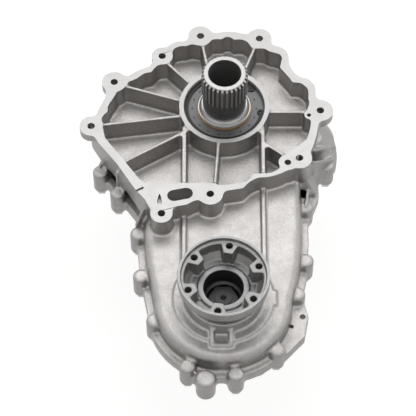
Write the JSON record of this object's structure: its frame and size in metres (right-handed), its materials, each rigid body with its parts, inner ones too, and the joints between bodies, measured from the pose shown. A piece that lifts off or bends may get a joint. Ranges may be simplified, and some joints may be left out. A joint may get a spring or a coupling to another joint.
{
  "type": "transfer case",
  "caption": "Chain-drive transfer case with a ribbed bell, a splined input, a cup-shaped front output flange and a rear output flange, with its planetary differential inside.",
  "frame": {"origin": "where the input shaft's axis crosses the machined face of the bell", "axes": "+Z along the input shaft towards the gearbox, +Y from the front output shaft to the input shaft"},
  "size_m": [0.312, 0.4805, 0.2625],
  "materials": {
    "cast_aluminium": "shot blasted casting with machined faces",
    "dark_steel": "phosphated steel",
    "bearing_steel": "ground",
    "steel": "machined",
    "flange_iron": "machined with a cast back",
    "zinc_steel": "zinc plated",
    "amber_ring": "yellow zinc plated",
    "seal_rubber": "matt",
    "cage": "pressed sheet",
    "bronze": "plain bush",
    "chain": "oiled",
    "copper": "sealing washer"
  },
  "bodies": {
    "case": {"front_case": "cast_aluminium", "rear_case": "cast_aluminium", "case_bolts": "zinc_steel", "case_dowels": "bearing_steel", "input_snap_ring": "dark_steel", "input_seal": "seal_rubber", "front_output_seal": "seal_rubber", "rear_output_seal": "seal_rubber", "drive_chain": "chain", "fill_plug": "zinc_steel", "fill_plug_washer": "copper", "drain_plug": "zinc_steel", "drain_plug_washer": "copper", "breather": "zinc_steel", "input_bearing_shield": "dark_steel", "input_bearing_outer_ring": "bearing_steel", "front_output_bearing_outer_ring": "bearing_steel", "tail_bearing_outer_ring": "bearing_steel", "rear_output_bearing_outer_ring": "bearing_steel"},
    "front_drive": {"sun_gear": "steel", "sun_bushes": "bronze", "drive_sprocket": "steel"},
    "front_output": {"front_output_flange": "flange_iron", "front_output_shaft": "steel", "front_flange_nut": "dark_steel", "front_dust_shield": "dark_steel", "driven_sprocket": "steel", "front_output_bearing_inner_ring": "bearing_steel", "tail_bearing_inner_ring": "bearing_steel"},
    "input": {"input_shaft": "dark_steel", "thrust_washer": "amber_ring", "thrust_collar": "bearing_steel", "input_bearing_inner_ring": "bearing_steel", "planet_carrier": "steel", "planet_pins": "bearing_steel"},
    "rear_output": {"ring_gear": "steel", "rear_output_shaft": "steel", "pilot_bush": "bronze", "rear_output_flange": "flange_iron", "rear_flange_nut": "zinc_steel", "rear_output_bearing_inner_ring": "bearing_steel"},
    "planet_1": {"planet_gear_1": "steel"},
    "planet_2": {"planet_gear_2": "steel"},
    "planet_3": {"planet_gear_3": "steel"},
    "input_bearing_set": {"input_bearing_cage": "cage", "input_bearing_balls": "bearing_steel"},
    "front_output_bearing_set": {"front_output_bearing_cage": "cage", "front_output_bearing_balls": "bearing_steel"},
    "tail_bearing_set": {"tail_bearing_cage": "cage", "tail_bearing_balls": "bearing_steel"},
    "rear_output_bearing_set": {"rear_output_bearing_cage": "cage", "rear_output_bearing_balls": "bearing_steel"}
  },
  "joints": [
    {"name": "front_drive_spin", "type": "hinge", "parent": "case", "child": "front_drive", "pos_m": [0, 0, 0], "axis": [0, 0, 1], "continuous": true},
    {"name": "front_output_spin", "type": "hinge", "parent": "case", "child": "front_output", "pos_m": [-0.002, -0.2524, 0], "axis": [0, 0, 1], "continuous": true, "deforming": ["drive_chain"]},
    {"name": "differential_action", "type": "hinge", "parent": "front_drive", "child": "input", "pos_m": [0, 0, 0], "axis": [0, 0, 1], "continuous": true},
    {"name": "rear_output_spin", "type": "hinge", "parent": "input", "child": "rear_output", "pos_m": [0, 0, 0], "axis": [0, 0, 1], "continuous": true},
    {"name": "planet_1_spin", "type": "hinge", "parent": "input", "child": "planet_1", "pos_m": [0, 0.051, 0], "axis": [0, 0, 1], "continuous": true},
    {"name": "planet_2_spin", "type": "hinge", "parent": "input", "child": "planet_2", "pos_m": [-0.04417, -0.0255, 0], "axis": [0, 0, 1], "continuous": true},
    {"name": "planet_3_spin", "type": "hinge", "parent": "input", "child": "planet_3", "pos_m": [0.04417, -0.0255, 0], "axis": [0, 0, 1], "continuous": true},
    {"name": "input_bearing_roll", "type": "hinge", "parent": "case", "child": "input_bearing_set", "pos_m": [0, 0, 0], "axis": [0, 0, 1], "continuous": true},
    {"name": "front_output_bearing_roll", "type": "hinge", "parent": "case", "child": "front_output_bearing_set", "pos_m": [-0.002, -0.2524, 0], "axis": [0, 0, 1], "continuous": true},
    {"name": "tail_bearing_roll", "type": "hinge", "parent": "case", "child": "tail_bearing_set", "pos_m": [-0.002, -0.2524, 0], "axis": [0, 0, 1], "continuous": true},
    {"name": "rear_output_bearing_roll", "type": "hinge", "parent": "case", "child": "rear_output_bearing_set", "pos_m": [0, 0, 0], "axis": [0, 0, 1], "continuous": true}
  ],
  "couplings": [
    {"joint": "front_output_spin", "follows": "front_drive_spin", "ratio": 1},
    {"joint": "rear_output_spin", "follows": "differential_action", "ratio": 0.54545},
    {"joint": "planet_1_spin", "follows": "differential_action", "ratio": 2.4},
    {"joint": "planet_2_spin", "follows": "differential_action", "ratio": 2.4},
    {"joint": "planet_3_spin", "follows": "differential_action", "ratio": 2.4},
    {"joint": "input_bearing_roll", "follows": "front_drive_spin", "ratio": 0.44839},
    {"joint": "front_output_bearing_roll", "follows": "front_drive_spin", "ratio": 0.42},
    {"joint": "tail_bearing_roll", "follows": "front_drive_spin", "ratio": 0.39565},
    {"joint": "rear_output_bearing_roll", "follows": "front_drive_spin", "ratio": 0.4}
  ]
}
